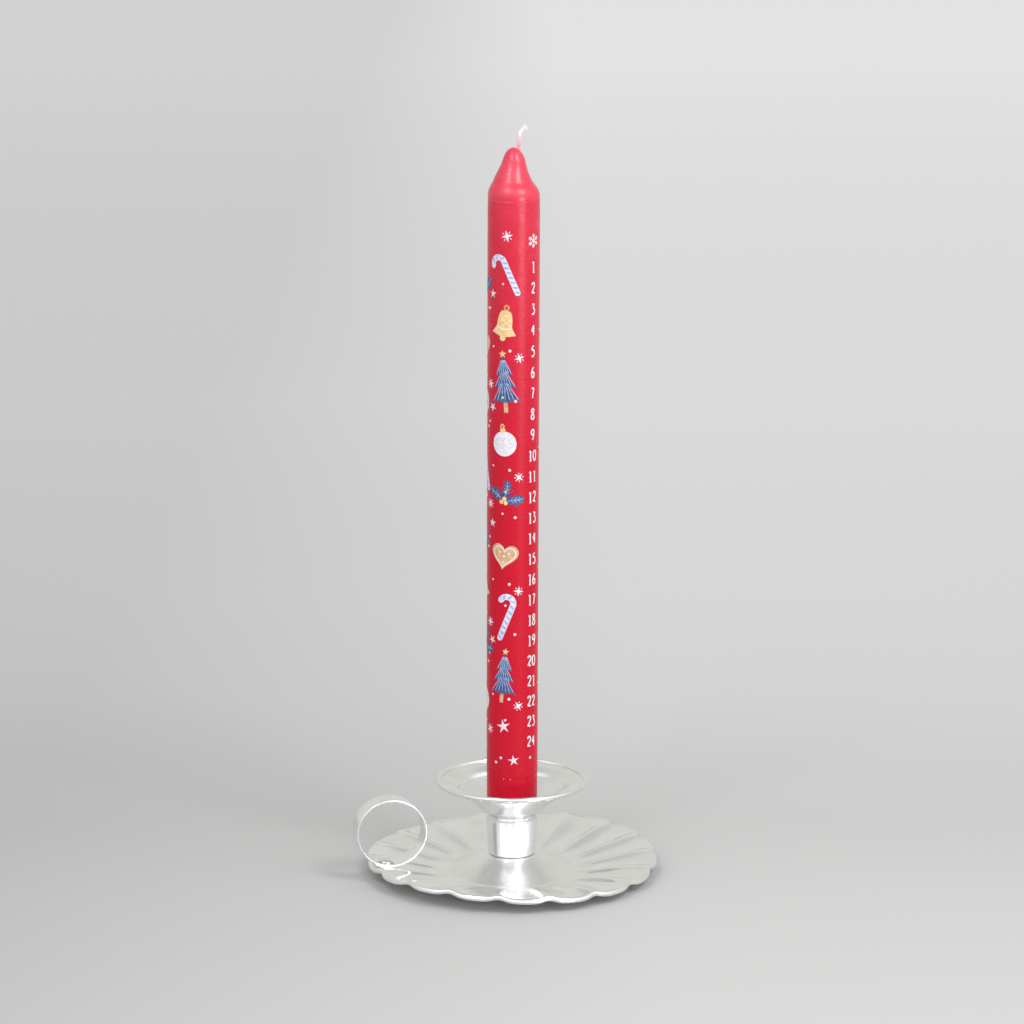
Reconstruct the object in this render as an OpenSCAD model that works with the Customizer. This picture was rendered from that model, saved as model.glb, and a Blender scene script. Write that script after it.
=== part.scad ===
// Calendar candle standing in a ring-handled chamberstick.
// A dyed taper with a printed sleeve drops into a drawn cup, which is riveted to a fluted saucer.
// The axis of the candle is Z, the table is the plane z = 0, and the ring handle points along -X.

/* [Candle] */
// Diameter of the candle over its printed sleeve
candle_d = 21.6; // [20.8:0.1:22.2]
// Length of the wax from its foot to its tip
candle_l = 299.5; // [150:0.5:340]
// Height of the crowned head above the straight side
head_h = 20.2; // [18:0.1:26]
// Diameter of the wax at the foot
foot_d = 17.8; // [15:0.1:18]
// Diameter of the cotton wick
wick_d = 1.2; // [1:0.1:1.6]

/* [Printed sleeve] */
// Thickness of the transfer film
film_t = 0.1; // [0.05:0.05:0.15]
// Height of the film's lower edge above the table
film_z = 42.7; // [34:0.1:60]
// Length of the film along the candle
film_l = 245; // [100:1:250]

/* [Saucer] */
// Radius over the lobes of the rim
saucer_r = 62; // [58:0.5:70]
// Height of the rim over a lobe
rim_z = 7; // [6:0.1:12]
// Number of flutes pressed into the wall
flute_count = 18; // [12:2:24]
// Distance that the rim draws in between two lobes
notch_depth = 1.2; // [0.4:0.1:2]
// Height that the rim rises between two lobes
notch_rise = 1; // [0.2:0.1:1.6]
// Share of a flute taken by its rounded crest
crest_share = 0.22; // [0.14:0.01:0.4]
// Thickness of the saucer's sheet
saucer_t = 0.8; // [0.6:0.1:1]
// Radius of the rolled edge of the rim
saucer_bead_r = 0.9; // [0.6:0.1:1.2]
// Radius of the level seat under the cup
seat_r = 10.6; // [10.4:0.1:12]
// Height of the level seat under the cup
seat_z = 7.8; // [6:0.1:10]
// Outer radius of the trough ring that rests on the table
foot_ring_r = 28.6; // [27:0.1:32]

/* [Cup and drip pan] */
// Thickness of the sheet of the cup and the pan
sheet_t = 0.5; // [0.4:0.1:0.6]
// Inner radius of the cup at its mouth
cup_mouth_r = 10.45; // [10.4:0.05:10.8]
// Inner radius of the cup just above its floor
cup_floor_r = 9.6; // [9.4:0.05:10]
// Height of the cup's wall above its seat
cup_h = 15.7; // [13:0.1:18]
// Radius of the drip pan over its rolled edge
pan_r = 32.3; // [30:0.1:36]
// Height of the drip pan's rolled edge above the cup's mouth
pan_h = 17.5; // [15:0.1:20]
// Radius of the pan's well at its upper edge
well_r = 25.2; // [24.2:0.1:26]
// Radius of the well at the foot of its steep wall
well_foot_r = 22.8; // [21.8:0.1:23.4]
// Depth of that steep wall
well_wall_h = 3.7; // [3:0.1:4.5]
// Depth to which the pan's collar reaches into the cup
collar_h = 5.5; // [4:0.1:8]
// Radius of the pan's rolled edge
pan_bead_r = 1; // [0.6:0.1:1.2]

/* [Ring handle] */
// Outer diameter of the ring
ring_d = 29.4; // [26:0.1:36]
// Width of the band
band_w = 9.6; // [6:0.1:11]
// Thickness of the band
band_t = 0.8; // [0.6:0.1:1.2]
// Radius on the saucer at which the ring is riveted
ring_at_r = 55.3; // [52:0.1:57]
// Distance from the rivet at which the outer end leaves the circle
lap_from = 7; // [6:0.1:9]
// Distance from the rivet to the tip of that end, towards the candle
lap_reach = 5.5; // [4:0.1:7]

/* [Rivets] */
// Radius of the shank of the cup's rivet
cup_rivet_r = 1.6; // [1.2:0.1:2]
// Radius of the shank of the handle's rivet
handle_rivet_r = 1.3; // [1:0.1:1.6]
// Radius of the domed head inside the ring
handle_head_r = 3.4; // [2.8:0.1:3.6]
// Height of that head
handle_head_h = 1.5; // [1.2:0.1:2]
// Height of the upset ends under the saucer
upset_h = 0.9; // [0.6:0.1:1.2]

/* [Hidden] */
$fn = 96;

wax_red = [0.80, 0.12, 0.21];
film_red = [0.84, 0.16, 0.25];
cotton = [0.95, 0.92, 0.88];
metal = [0.80, 0.80, 0.77];
metal_shade = [0.70, 0.71, 0.70];

// Heights on the axis: floor of the cup, foot and tip of the wax, mouth of the cup, edge of the pan
cup_head_h = 0.8;
floor_z = seat_z + sheet_t;
candle_z = floor_z + cup_head_h;
tip_z = candle_z + candle_l;
mouth_z = seat_z + cup_h;
pan_top_z = mouth_z + pan_h;

wax_r = candle_d / 2 - film_t;
wick_r = wick_d / 2;
ring_r = ring_d / 2;

// Length by which pieces of one solid run into each other, and play left between two fitted pieces
overlap = 0.5;
play = 0.03;

// Route of the wick's upper end, which leaves the nose of the candle to one side
wick_bend_drop = 12;
wick_lean_angle = -14.8;
wick_route = [[0, -12], [0.1, -10], [0.5, -7], [1.1, -4], [1.6, -1.6], [1.85, 0], [1.95, 1.5],
              [2.05, 3], [2.2, 4.6], [2.6, 6], [3.3, 7.2], [4.2, 8.1], [5.2, 8.7]];

// Cubic curve through two ends with two handles, as n + 1 points
function curve(p, n) = [for (i = [0 : n]) let (t = i / n, s = 1 - t)
    s * s * s * p[0] + 3 * s * s * t * p[1] + 3 * s * t * t * p[2] + t * t * t * p[3]];

// Points on an arc about c, from angle a to angle b
function arc(c, r, a, b, n) = [for (i = [0 : n]) let (w = a + (b - a) * i / n)
    c + r * [cos(w), sin(w)]];

function tail(p) = [for (i = [1 : len(p) - 1]) p[i]];
function reversed(p) = [for (i = [len(p) - 1 : -1 : 0]) p[i]];
function left_of(a, b) = let (d = b - a) [-d[1], d[0]] / norm(d);

// Path moved sideways by t, to the left of its direction
function beside(p, t) = [for (i = [0 : len(p) - 1])
    let (n0 = i > 0 ? left_of(p[i - 1], p[i]) : left_of(p[0], p[1]),
         n1 = i < len(p) - 1 ? left_of(p[i], p[i + 1]) : n0,
         m = (n0 + n1) / norm(n0 + n1))
    p[i] + m * t / (m * n0)];

// Sheet metal of thickness t spun about the axis, with the path as its right-hand face
module spun_sheet(path, t) {
    rotate_extrude() polygon(concat(path, reversed(beside(path, t))));
}

// Half outline of the wax: tapered foot, straight side, rounded shoulder, waisted cone and nose
function wax_outline() = let (
        foot_r = foot_d / 2,
        foot_edge = 0.6,
        neck_gap = 1.2,
        top = [0, tip_z],
        shoulder_end = top + [8.1, -13.8],
        cone_end = top + [4.95, -6],
        shoulder = curve([top + [wax_r, -head_h], top + [wax_r, -17], top + [9.3, -15.7],
                          shoulder_end], 6),
        cone = curve([shoulder_end, top + [7, -11.2], top + [5.8, -9], cone_end], 5),
        nose = curve([cone_end, top + [4.1, -3], top + [2.9, 0], top], 7))
    concat([[0, candle_z], [foot_r - foot_edge, candle_z], [foot_r, candle_z + foot_edge],
            [wax_r - neck_gap, mouth_z + 1.3], [wax_r, mouth_z + 8]],
           shoulder, tail(cone), tail(nose));

// Ring of n points of radius r about c, square to the direction d in the plane of the lean
function ring_points(c, d, r, n) = let (u = d / norm(d)) [for (i = [0 : n - 1])
    let (w = 360 * i / n)
    [c[0] + r * cos(w) * u[1], r * sin(w), c[1] - r * cos(w) * u[0]]];

// Closed tube swept along a route in the XZ plane
module swept_tube(route, r, sides) {
    last = len(route) - 1;
    rings = [for (i = [0 : last])
        ring_points(route[i], route[min(i + 1, last)] - route[max(i - 1, 0)], r, sides)];
    walls = [for (i = [0 : last - 1], k = [0 : sides - 1])
        let (a = i * sides + k, b = i * sides + (k + 1) % sides)
        each [[a, b + sides, b], [a, a + sides, b + sides]]];
    ends = [[for (k = [0 : sides - 1]) k], [for (k = [sides - 1 : -1 : 0]) last * sides + k]];
    polyhedron([for (ring = rings) each ring], concat(walls, ends));
}

// Wick: straight along the axis, then bent to one side through the nose and above it
module wick_shape(foot_z) {
    translate([0, 0, foot_z])
        cylinder(r = wick_r, h = tip_z - wick_bend_drop + overlap - foot_z);
    rotate([0, 0, wick_lean_angle]) translate([0, 0, tip_z])
        swept_tube(wick_route, wick_r, 10);
}

module candle_wax() {
    color(wax_red) difference() {
        rotate_extrude() polygon(wax_outline());
        wick_shape(candle_z - overlap);
    }
}

module wick() {
    color(cotton) wick_shape(candle_z + 0.3);
}

module print_film() {
    color(film_red) translate([0, 0, film_z]) difference() {
        cylinder(d = candle_d, h = film_l);
        translate([0, 0, -1]) cylinder(r = wax_r, h = film_l + 2);
    }
}

// Inner radius of the cup at a height above its rounded corner, and outer radius of the pan's neck
cup_corner_r = 1;
function cup_inner_r(z) = cup_floor_r
    + (cup_mouth_r - cup_floor_r) * (z - seat_z - cup_corner_r) / (cup_h - cup_corner_r);
neck_r = cup_mouth_r - 0.1;

// Half outline of the drawn cup, with a rounded foot and a lip turned in over the collar
module candle_cup() {
    corner = [cup_floor_r + sheet_t - cup_corner_r, seat_z + cup_corner_r];
    lip_r = cup_mouth_r + sheet_t - neck_r;
    outside = concat([[cup_rivet_r, seat_z]],
        arc(corner, cup_corner_r, -90, 0, 4),
        [[cup_mouth_r + sheet_t, mouth_z]],
        arc([neck_r, mouth_z], lip_r, 15, 75, 4));
    inside = concat([[neck_r, mouth_z + lip_r], [cup_mouth_r, mouth_z]],
        arc(corner, cup_corner_r - sheet_t, 0, -90, 3),
        [[cup_rivet_r, floor_z]]);
    color(metal_shade) rotate_extrude() polygon(concat(outside, inside));
}

// Drip pan: collar inside the cup, narrow neck, flared bowl, stepped wall, flange and rolled edge
module drip_pan() {
    collar_z = mouth_z - collar_h;
    well_edge_z = pan_top_z - 2.1;
    foot = [well_foot_r, well_edge_z - well_wall_h];
    bowl = [15.1, mouth_z + 5.35];
    collar = [[cup_inner_r(collar_z) - play, collar_z], [cup_mouth_r - play, mouth_z],
              [neck_r, mouth_z + 0.63]];
    neck = curve([[neck_r, mouth_z + 1.2], [neck_r, mouth_z + 2.4], bowl - [2.5, 2.05], bowl], 6);
    flare = curve([bowl, bowl + [2, 1.65], foot - [1.7, 1.7], foot], 6);
    flange = [[well_r - 0.5, well_edge_z], [well_r + 0.1, well_edge_z + 0.6],
              [well_r + 1, well_edge_z + 0.85], [pan_r - 1.7, pan_top_z - 1.4]];
    color(metal) union() {
        spun_sheet(concat(collar, neck, tail(flare), flange), sheet_t);
        rotate_extrude() translate([pan_r - pan_bead_r, pan_top_z - pan_bead_r])
            circle(r = pan_bead_r, $fn = 24);
    }
}

// Cup's rivet: a low head inside the cup, the shank, and the upset end under the saucer
module cup_rivet() {
    under_z = seat_z - saucer_t;
    upset_r = 2.8;
    head_r = 3.4;
    color(metal_shade) rotate_extrude() polygon([
        [0, under_z - upset_h], [upset_r - 0.6, under_z - upset_h],
        [upset_r, under_z - upset_h / 2], [upset_r, under_z],
        [cup_rivet_r, under_z], [cup_rivet_r, floor_z],
        [head_r, floor_z], [head_r - 0.2, floor_z + cup_head_h / 2],
        [head_r - 1.1, candle_z], [0, candle_z]]);
}

// Shape of the saucer: rho runs from 0 at the foot ring to 1 at the rolled edge,
// and f from 0 along the middle of a flute to 1 along its crest

// The hollow rises as the cube of u, and the crest's parabola carries on from it at the same slope
hollow_share = 1 - crest_share;
hollow_rise = 2 * hollow_share / (2 + crest_share);
function crest_at(u) = abs(u) <= hollow_share
    ? hollow_rise * pow(abs(u) / hollow_share, 3)
    : 1 - (1 - hollow_rise) * pow((1 - abs(u)) / crest_share, 2);
function edge_r(f) = saucer_r - notch_depth * f - saucer_bead_r;
function edge_z(f) = rim_z + notch_rise * f;

// Upper face of the sheet along a flute and along a crest, which meets the rolled edge under its top
sheet_drop = 0.5;
function flute_floor(rho) = saucer_t + (rim_z - sheet_drop - saucer_t)
    * (rho / 2 + 1.5 * rho * rho - pow(rho, 3));
function flute_crest(rho) = saucer_t + (rim_z + notch_rise - sheet_drop - saucer_t)
    * (1 - pow(1 - rho, 1.5));
function wall_z(rho, f) = flute_floor(rho) * (1 - f) + flute_crest(rho) * f;
function wall_r(rho, f) = foot_ring_r + (edge_r(f) - foot_ring_r) * rho;
function rho_at(r) = (r - foot_ring_r) / (edge_r(0) - foot_ring_r);

// Closed section through the fluted wall: upper face, crease, rolled edge and lower face
wall_steps = [0, 0.15, 0.35, 0.58, 0.8];
crease_rho = 0.97;
roll_angles = [95, 40, -10, -60, -115, -175];
function wall_section(f) = let (r1 = edge_r(f), z1 = edge_z(f) - saucer_bead_r)
    concat([[foot_ring_r - overlap, saucer_t]],
        [for (rho = wall_steps) [wall_r(rho, f), wall_z(rho, f)]],
        [[r1 - saucer_bead_r, wall_z(crease_rho, f)]],
        [for (w = roll_angles) [r1 + saucer_bead_r * cos(w), z1 + saucer_bead_r * sin(w)]],
        [for (rho = reversed(wall_steps)) [wall_r(rho, f), wall_z(rho, f) - saucer_t]],
        [[foot_ring_r - overlap, 0]]);

// Fluted wall with its scalloped and rolled rim, lofted round the axis
module fluted_wall() {
    across = [-0.89, -0.77, -0.6, -0.35, 0, 0.35, 0.6, 0.77, 0.89, 1];
    pitch = 360 / flute_count;
    turns = [for (k = [0 : flute_count - 1], u = across) [pitch * (k + u / 2), crest_at(u)]];
    rings = [for (turn = turns) [for (p = wall_section(turn[1]))
        [p[0] * cos(turn[0]), p[0] * sin(turn[0]), p[1]]]];
    m = len(rings[0]);
    n = len(rings);
    faces = [for (i = [0 : n - 1], j = [0 : m - 1])
        let (a = i * m + j, b = i * m + (j + 1) % m,
             c = ((i + 1) % n) * m + (j + 1) % m, d = ((i + 1) % n) * m + j)
        each [[a, c, b], [a, d, c]]];
    polyhedron([for (ring = rings) each ring], faces);
}

// Raised middle of the saucer: level seat, sloping dome and the flat ring that rests on the table
module saucer_middle() {
    flat_r = foot_ring_r - 1.8;
    dome = curve([[seat_r, seat_z], [seat_r + 1.6, seat_z - 0.1], [flat_r - 1.2, saucer_t],
                  [flat_r, saucer_t]], 8);
    top = concat([[cup_rivet_r, seat_z]], dome, [[foot_ring_r - 0.1, saucer_t]]);
    spun_sheet(reversed(top), saucer_t);
}

// Place and slope of the seat of the ring handle, in the middle of the flute that points along -X
seat_rho = rho_at(ring_at_r);
slope_step = 0.02;
seat_slope = atan((flute_floor(seat_rho + slope_step) - flute_floor(seat_rho - slope_step))
    / (2 * slope_step * (edge_r(0) - foot_ring_r)));
band_edge_f = crest_at(asin(band_w / 2 / ring_at_r) / (180 / flute_count));
band_seat_z = wall_z(seat_rho, band_edge_f) + play;
ring_up = band_t + ring_r;

// Puts what is drawn in the ring's own plane, seat at the origin and ring upwards, on the saucer
module on_handle_seat() {
    translate([-ring_at_r, 0, band_seat_z]) rotate([0, seat_slope, 0]) rotate([90, 0, 0])
        children();
}

module saucer() {
    color(metal) difference() {
        union() {
            saucer_middle();
            fluted_wall();
        }
        on_handle_seat() rotate([-90, 0, 0])
            cylinder(r = handle_rivet_r + play, h = 12 * saucer_t, center = true);
    }
}

// Ring handle: a flat band rolled into a circle, its outer end lapped under the ring,
// where the last points of the lap lie inside the band
module ring_handle() {
    w = asin(lap_from / ring_r);
    leave = [-lap_from, ring_up - ring_r * cos(w)];
    middle_r = ring_r - band_t / 2;
    lap = concat(curve([leave, leave + 2.6 * [cos(w), -sin(w)], [-3, 0], [-1, 0]], 5),
        [[lap_reach, 0], [lap_reach, band_t], [1.2, band_t], [0.6, 1.4 * band_t],
         [-middle_r * sin(w), ring_up - middle_r * cos(w)]]);
    color(metal) on_handle_seat() difference() {
        linear_extrude(band_w, center = true) union() {
            translate([0, ring_up]) difference() {
                circle(r = ring_r);
                circle(r = ring_r - band_t);
            }
            polygon(lap);
        }
        rotate([-90, 0, 0]) cylinder(r = handle_rivet_r + play, h = 8 * band_t, center = true);
    }
}

// Handle's rivet: a domed head fitted to the inside of the ring, and an upset end under the saucer
module handle_rivet() {
    grip = band_seat_z - wall_z(seat_rho, 0) + saucer_t;
    foot = -grip - upset_h - play;
    dome_r = (pow(handle_head_r, 2) + pow(handle_head_h, 2)) / (2 * handle_head_h);
    color(metal_shade) on_handle_seat() {
        rotate([-90, 0, 0]) {
            translate([0, 0, foot + overlap])
                cylinder(r = handle_rivet_r, h = 2 * band_t + handle_head_h / 2 - foot - overlap);
            translate([0, 0, foot]) cylinder(r1 = handle_rivet_r + 0.6, r2 = handle_rivet_r + 1.1,
                                             h = upset_h);
        }
        intersection() {
            translate([0, 2 * band_t + handle_head_h - dome_r]) sphere(r = dome_r);
            rotate([-90, 0, 0]) translate([0, 0, band_t]) cylinder(r = handle_head_r, h = 4);
            translate([0, ring_up])
                cylinder(r = ring_r - band_t - play, h = 2 * band_w, center = true);
        }
    }
}

candle_wax();
wick();
print_film();
drip_pan();
candle_cup();
cup_rivet();
saucer();
ring_handle();
handle_rivet();
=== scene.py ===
# %% [markdown]
# A calendar candle in its chamberstick. The candle is a tall red taper with the numbers 1 to 24
# printed down its side, and the chamberstick has a drip pan, a fluted saucer and a ring handle.
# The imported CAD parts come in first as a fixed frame. They never move: each detailed surface made
# here stands in the place of one of them and rides on that part's body.

# %% Load the fixed frame
import math

import bmesh
import bpy
import numpy as np
from mathutils import Matrix, Vector


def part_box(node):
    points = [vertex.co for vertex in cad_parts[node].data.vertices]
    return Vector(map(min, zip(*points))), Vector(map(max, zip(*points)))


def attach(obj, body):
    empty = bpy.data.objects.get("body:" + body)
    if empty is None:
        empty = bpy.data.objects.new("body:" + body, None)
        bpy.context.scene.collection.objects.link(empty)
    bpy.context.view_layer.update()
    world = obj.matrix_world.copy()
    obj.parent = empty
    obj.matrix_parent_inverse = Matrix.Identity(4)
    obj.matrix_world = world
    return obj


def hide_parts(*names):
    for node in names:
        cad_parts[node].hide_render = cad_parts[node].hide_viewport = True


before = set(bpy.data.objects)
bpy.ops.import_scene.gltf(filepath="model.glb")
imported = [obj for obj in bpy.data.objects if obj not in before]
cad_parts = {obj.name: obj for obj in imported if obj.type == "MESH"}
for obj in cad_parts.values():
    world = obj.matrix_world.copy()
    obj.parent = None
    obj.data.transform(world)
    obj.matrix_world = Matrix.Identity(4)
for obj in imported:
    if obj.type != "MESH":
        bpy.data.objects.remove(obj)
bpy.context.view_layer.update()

print("parts of the frame:", sorted(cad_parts))

# %% [markdown]
# The camera comes next, because every shape and finish is judged through it. It stands a metre and
# a half away with a long lens, a little above the saucer, and looks slightly down. The holder is
# turned a little, so that its ring handle comes forward on the left.

# %% Camera
MM = 0.001
TAU = 2 * math.pi
LENS_MM = 126.94
SENSOR_MM = 36.0
CAMERA_DISTANCE = 1549.1 * MM
CAMERA_SIDE = -0.36 * MM
CAMERA_ABOVE = math.radians(17.75)
CAMERA_PITCH = math.radians(12.097)
CAMERA_ROLL = math.radians(0.184)
HOLDER_TURN = math.radians(-14.8)
FRONT = HOLDER_TURN - math.pi / 2


def make_camera():
    """A camera at the photograph's angle: moved back, raised, turned about the candle's axis."""
    data = bpy.data.cameras.new("camera")
    data.lens = LENS_MM
    data.sensor_width = SENSOR_MM
    camera = bpy.data.objects.new("camera", data)
    back = CAMERA_DISTANCE * math.cos(CAMERA_ABOVE)
    turn = Matrix.Rotation(HOLDER_TURN, 4, "Z")
    place = Matrix.Translation((CAMERA_SIDE, -back, CAMERA_DISTANCE * math.sin(CAMERA_ABOVE)))
    tilt = Matrix.Rotation(math.pi / 2 - CAMERA_PITCH, 4, "X")
    camera.matrix_world = turn @ place @ tilt @ Matrix.Rotation(CAMERA_ROLL, 4, "Z")
    bpy.context.scene.collection.objects.link(camera)
    bpy.context.scene.camera = camera
    return camera


camera = make_camera()
print("camera at", [round(v, 3) for v in camera.location])

# %% [markdown]
# The sizes are read from the frame, in millimetres, so that nothing made here can drift away from
# the parts. Only what the frame's boxes can't tell, such as a sheet's thickness or the number of
# flutes, is a value of its own.

# %% Sizes from the frame


def box_mm(node):
    """Lowest and highest corner of a CAD part at rest, in millimetres."""
    low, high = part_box(node)
    return np.array(low) / MM, np.array(high) / MM


wax_low, wax_high = box_mm("candle_wax")
film_low, film_high = box_mm("print_film")
cup_low, cup_high = box_mm("candle_cup")
pan_high = box_mm("drip_pan")[1]
saucer_high = box_mm("saucer")[1]

wax_r = wax_high[0]
film_r = film_high[0]
foot_z = wax_low[2]
tip_z = wax_high[2]
seat_z = cup_low[2]
mouth_r = cup_high[0] - 0.5
mouth_z = cup_high[2] - 0.6
pan_r = pan_high[0]
pan_top_z = pan_high[2]
print(f"candle {2 * film_r:.1f} mm thick, {tip_z - foot_z:.1f} mm long, pan {2 * pan_r:.1f} mm wide")

# %% [markdown]
# Every surface is a grid of points worked out as one whole array. These helpers number the corners
# of its quads, carry a profile round the axis, and put the arrays into a mesh. A closed profile
# runs anticlockwise in the plane of radius and height, so that the faces point outwards.

# %% Surfaces from arrays


def grid_faces(rows, columns, round_rows=False, round_columns=True):
    """Quads between neighbouring points of a grid, joined round at the last row or column if asked."""
    i = np.arange(rows if round_rows else rows - 1)[:, None]
    j = np.arange(columns if round_columns else columns - 1)[None, :]
    next_i = (i + 1) % rows
    next_j = (j + 1) % columns
    corners = [i * columns + j, i * columns + next_j, next_i * columns + next_j, next_i * columns + j]
    return np.stack(np.broadcast_arrays(*corners), -1).reshape(-1, 4)


def spun(profile, turns):
    """Grid of a profile carried round the axis: x = r cos a, y = r sin a, z as it is."""
    a = np.linspace(0, TAU, turns, endpoint=False)
    r, z = profile[:, :1], profile[:, 1:]
    return np.stack([r * np.cos(a), r * np.sin(a), z + 0 * a], -1)


def new_piece(name, points, quads, weld=False):
    """Puts whole arrays of points, in millimetres, and corner numbers into a smooth mesh object."""
    mesh = bpy.data.meshes.new(name)
    points = np.asarray(points, float).reshape(-1, 3) * MM
    mesh.vertices.add(len(points))
    mesh.vertices.foreach_set("co", points.ravel())
    mesh.loops.add(quads.size)
    mesh.loops.foreach_set("vertex_index", quads.ravel().astype(np.int32))
    mesh.polygons.add(len(quads))
    mesh.polygons.foreach_set("loop_start", np.arange(0, quads.size, 4, dtype=np.int32))
    mesh.update(calc_edges=True)
    if weld:
        shell = bmesh.new()
        shell.from_mesh(mesh)
        bmesh.ops.remove_doubles(shell, verts=shell.verts, dist=1e-7)
        shell.to_mesh(mesh)
        shell.free()
    mesh.shade_smooth()
    piece = bpy.data.objects.new(name, mesh)
    bpy.context.scene.collection.objects.link(piece)
    print(f"{name}: {len(mesh.polygons)} faces")
    return piece


def solid(name, grid, closed=True):
    """A piece from a grid whose columns go right round. Its rows go round too if it is closed. If not,
    its first and last rows are single points, and each is welded into one."""
    quads = grid_faces(*grid.shape[:2], round_rows=closed)
    return new_piece(name, grid, quads, weld=not closed)


def dress(piece, node, body, material):
    """Gives a piece its material, its body and the CAD part that it stands for."""
    piece.data.materials.append(material)
    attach(piece, body)
    if node:
        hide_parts(node)
    return piece


# %% [markdown]
# Outlines are drawn as a few cubic curves and straight runs, then walked along in equal steps. A
# sheet's outline is one face and the same face moved sideways by the sheet's thickness.

# %% Outlines


def curve(start, leave, arrive, end, n=24):
    """Cubic curve from start to end, with its two handles, as n + 1 points."""
    t = np.linspace(0, 1, n + 1)[:, None]
    s = 1 - t
    points = [np.asarray(p, float) for p in (start, leave, arrive, end)]
    return s**3 * points[0] + 3 * s * s * t * points[1] + 3 * s * t * t * points[2] + t**3 * points[3]


def arc(centre, radius, start, end, n=12):
    """Points on a circle about the centre, from one angle to another, in degrees."""
    a = np.radians(np.linspace(start, end, n + 1))
    return np.asarray(centre) + radius * np.stack([np.cos(a), np.sin(a)], -1)


def lengths(path):
    """How far along a line each of its points lies."""
    return np.concatenate([[0], np.cumsum(np.linalg.norm(np.diff(path, axis=0), axis=1))])


def even(path, step):
    """The same line walked in equal steps: its points are read off at even lengths along it."""
    path = np.asarray(path, float)
    length = lengths(path)
    at = np.linspace(0, length[-1], max(int(length[-1] / step), 2) + 1)
    return np.stack([np.interp(at, length, path[:, k]) for k in range(path.shape[1])], -1)


def soften(path, times):
    """Rounds the corners of an open line: each inner point moves to the mean of its neighbours."""
    path = path.copy()
    for _ in range(times):
        path[1:-1] = (path[:-2] + 2 * path[1:-1] + path[2:]) / 4
    return path


def ahead_of(path):
    """The direction of a line at each of its points: its slope, scaled to a length of one."""
    ahead = np.gradient(path, axis=0)
    return ahead / np.linalg.norm(ahead, axis=1, keepdims=True)


def left_of(path):
    """The direction square to a flat line's own, on its left."""
    ahead = ahead_of(path)
    return np.stack([-ahead[:, 1], ahead[:, 0]], -1)


# %% [markdown]
# Materials are small node trees on the Principled shader. What is the same all over is set on the
# shader's own sockets, and only what varies over the surface is linked. Patterns read Object
# coordinates, which stay with the piece when it moves.

# %% Material helpers


def put(tree, node, values):
    """Fills a node's inputs. A value that is another node's socket is linked, and any other is set."""
    for socket, value in values.items():
        if isinstance(value, bpy.types.NodeSocket):
            tree.links.new(value, node.inputs[socket])
        else:
            node.inputs[socket].default_value = value


def new_material(name, values):
    """A material with one Principled shader, whose own sockets hold the given values."""
    material = bpy.data.materials.new(name)
    material.use_nodes = True
    shader = material.node_tree.nodes["Principled BSDF"]
    put(material.node_tree, shader, values)
    return material, material.node_tree, shader


def add_node(tree, kind, values=None, **settings):
    """Adds a node, with its settings and then its inputs."""
    node = tree.nodes.new("ShaderNode" + kind)
    for name, value in settings.items():
        setattr(node, name, value)
    put(tree, node, values or {})
    return node


def noise(tree, where, scale, detail):
    """Noise of a size given by its scale, in cells per metre, at the given coordinates."""
    return add_node(tree, "TexNoise", {"Vector": where, "Scale": scale, "Detail": detail}).outputs["Fac"]


def spread(tree, value, low, high, from_low=0.3, from_high=0.7):
    """Stretches a value to run from low to high."""
    values = {"Value": value, "From Min": from_low, "From Max": from_high, "To Min": low, "To Max": high}
    return add_node(tree, "MapRange", values).outputs["Result"]


def maths(tree, operation, first, second):
    """One step of arithmetic on two values."""
    return add_node(tree, "Math", {0: first, 1: second}, operation=operation).outputs[0]


def mixed(tree, amount, first, second):
    """A colour between two colours."""
    first, second = (c if isinstance(c, bpy.types.NodeSocket) else (*c, 1) for c in (first, second))
    return add_node(tree, "Mix", {0: amount, 6: first, 7: second}, data_type="RGBA").outputs[2]


def ramp(tree, value, stops):
    """A colour read off a ramp, which is a list of positions and colours."""
    node = add_node(tree, "ValToRGB", {"Fac": value})
    elements = node.color_ramp.elements
    for _ in stops[2:]:
        elements.new(0.5)
    for element, (position, colour) in zip(elements, stops):
        element.position = position
        element.color = (*colour, 1)
    return node.outputs["Color"]


def split(tree, vector, turn=0.0):
    """The x, y and z of a vector, after a turn about the Z axis if there is one."""
    if turn:
        vector = add_node(tree, "Mapping", {"Vector": vector, "Rotation": (0, 0, turn)}).outputs[0]
    return list(add_node(tree, "SeparateXYZ", {0: vector}).outputs)


def object_point(tree):
    """The place on the piece, in metres."""
    return add_node(tree, "TexCoord").outputs["Object"]


def bump(tree, shader, height, distance):
    """Links a height, over a depth in metres, into the shader's normal."""
    node = add_node(tree, "Bump", {"Height": height, "Distance": distance, "Strength": 1.0})
    put(tree, shader, {"Normal": node.outputs["Normal"]})


# %% [markdown]
# Dyed wax is a smooth, slightly see-through solid. Light goes in a little way and comes out red,
# which softens every edge, so the shader has a small subsurface share. The skin is satin, with
# cloudy patches where the wax has bloomed, and it is never perfectly even. Towards the top its
# colour is painted paler: partly bloom, partly painted light from above.

# %% Wax and printed film
TOP_LIGHT_AND_BLOOM_FROM = 0.4


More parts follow.
